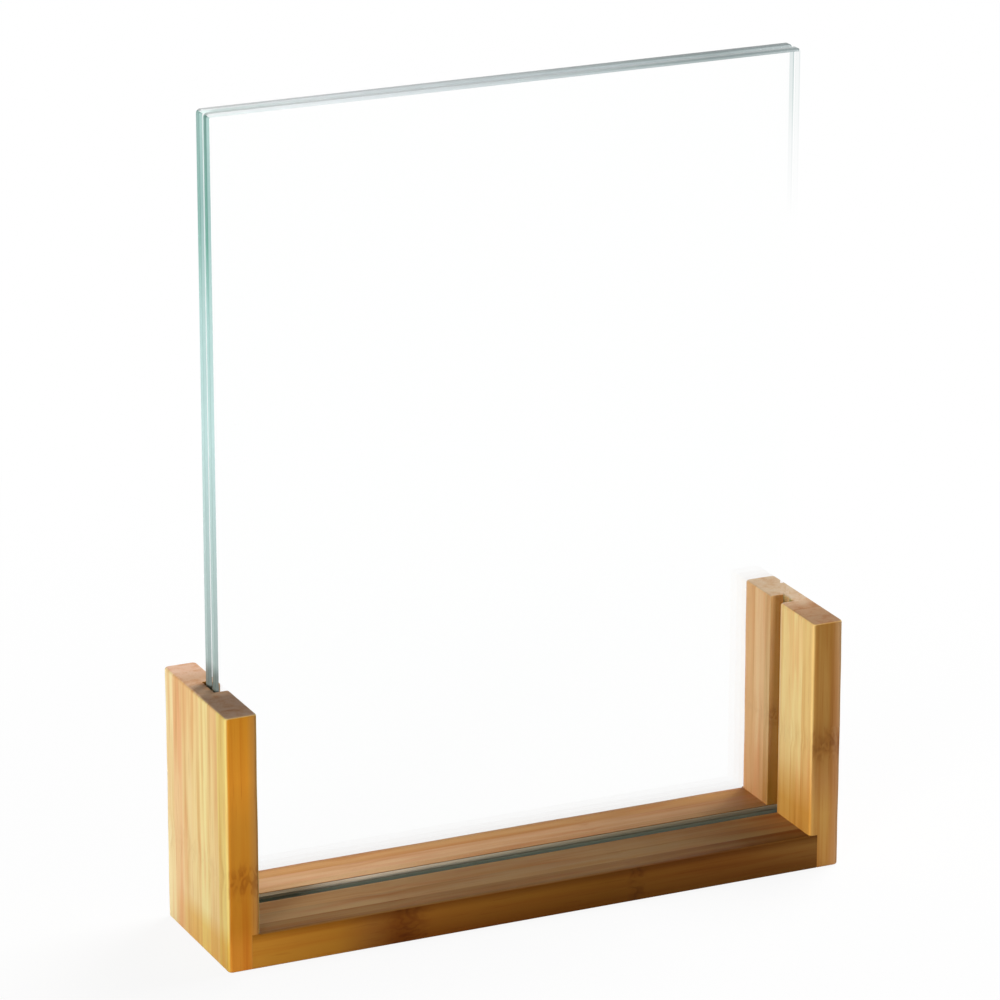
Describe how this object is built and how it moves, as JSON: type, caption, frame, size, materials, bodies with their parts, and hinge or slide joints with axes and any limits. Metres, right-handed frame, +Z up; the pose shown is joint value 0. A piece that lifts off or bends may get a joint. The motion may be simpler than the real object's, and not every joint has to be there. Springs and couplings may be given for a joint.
{
  "type": "menu card holder",
  "caption": "Tabletop menu card holder: clear glass panes stand face to face in a grooved bamboo base between slotted uprights, with a gap for the card.",
  "frame": {"origin": "centre of the stand's footprint, on the surface that it stands on", "axes": "+X along the stand to the right, +Y to the back, +Z up"},
  "size_m": [0.23, 0.0554, 0.2888],
  "materials": {
    "bamboo": "laminated bamboo, clear satin lacquer",
    "beech": "bare fluted beech dowel",
    "clear_glass": "clear float glass with seamed green edges"
  },
  "bodies": {
    "stand": {"left_upright": "bamboo", "right_upright": "bamboo", "base_bar": "bamboo", "left_front_dowel": "beech", "left_rear_dowel": "beech", "right_front_dowel": "beech", "right_rear_dowel": "beech"},
    "front_glass": {"front_pane": "clear_glass"},
    "rear_glass": {"rear_pane": "clear_glass"}
  },
  "joints": [
    {"name": "front_pane_lift", "type": "slide", "parent": "stand", "child": "front_glass", "axis": [0, 0, 1], "range_m": [0, 0.09]},
    {"name": "rear_pane_lift", "type": "slide", "parent": "stand", "child": "rear_glass", "axis": [0, 0, 1], "range_m": [0, 0.09]}
  ]
}
